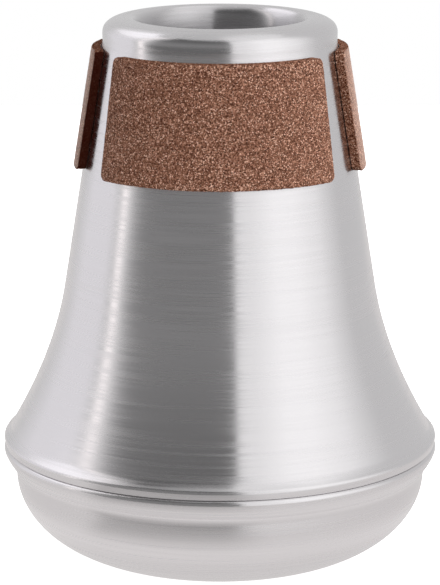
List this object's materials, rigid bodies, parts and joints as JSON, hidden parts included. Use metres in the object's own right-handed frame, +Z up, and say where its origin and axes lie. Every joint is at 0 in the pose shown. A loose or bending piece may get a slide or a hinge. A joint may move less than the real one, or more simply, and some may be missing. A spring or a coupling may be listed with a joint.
{
  "type": "euphonium straight mute",
  "caption": "Straight mute for a euphonium: a flared spun aluminium shell with an open rolled mouth, a bowl-shaped closed end and granulated cork pads round its neck.",
  "frame": {"origin": "middle of the flat base, on the mute's axis", "axes": "+Z up the axis to the open mouth, -Y to the front pad of cork"},
  "size_m": [0.196, 0.196, 0.244],
  "materials": {
    "spun_aluminium": "turned and brushed round its axis, satin",
    "granulated_cork": "granulated cork sheet, cut edges"
  },
  "bodies": {
    "root": {"body_shell": "spun_aluminium", "end_cap": "spun_aluminium", "cork_front": "granulated_cork", "cork_right": "granulated_cork", "cork_left": "granulated_cork"}
  },
  "joints": []
}
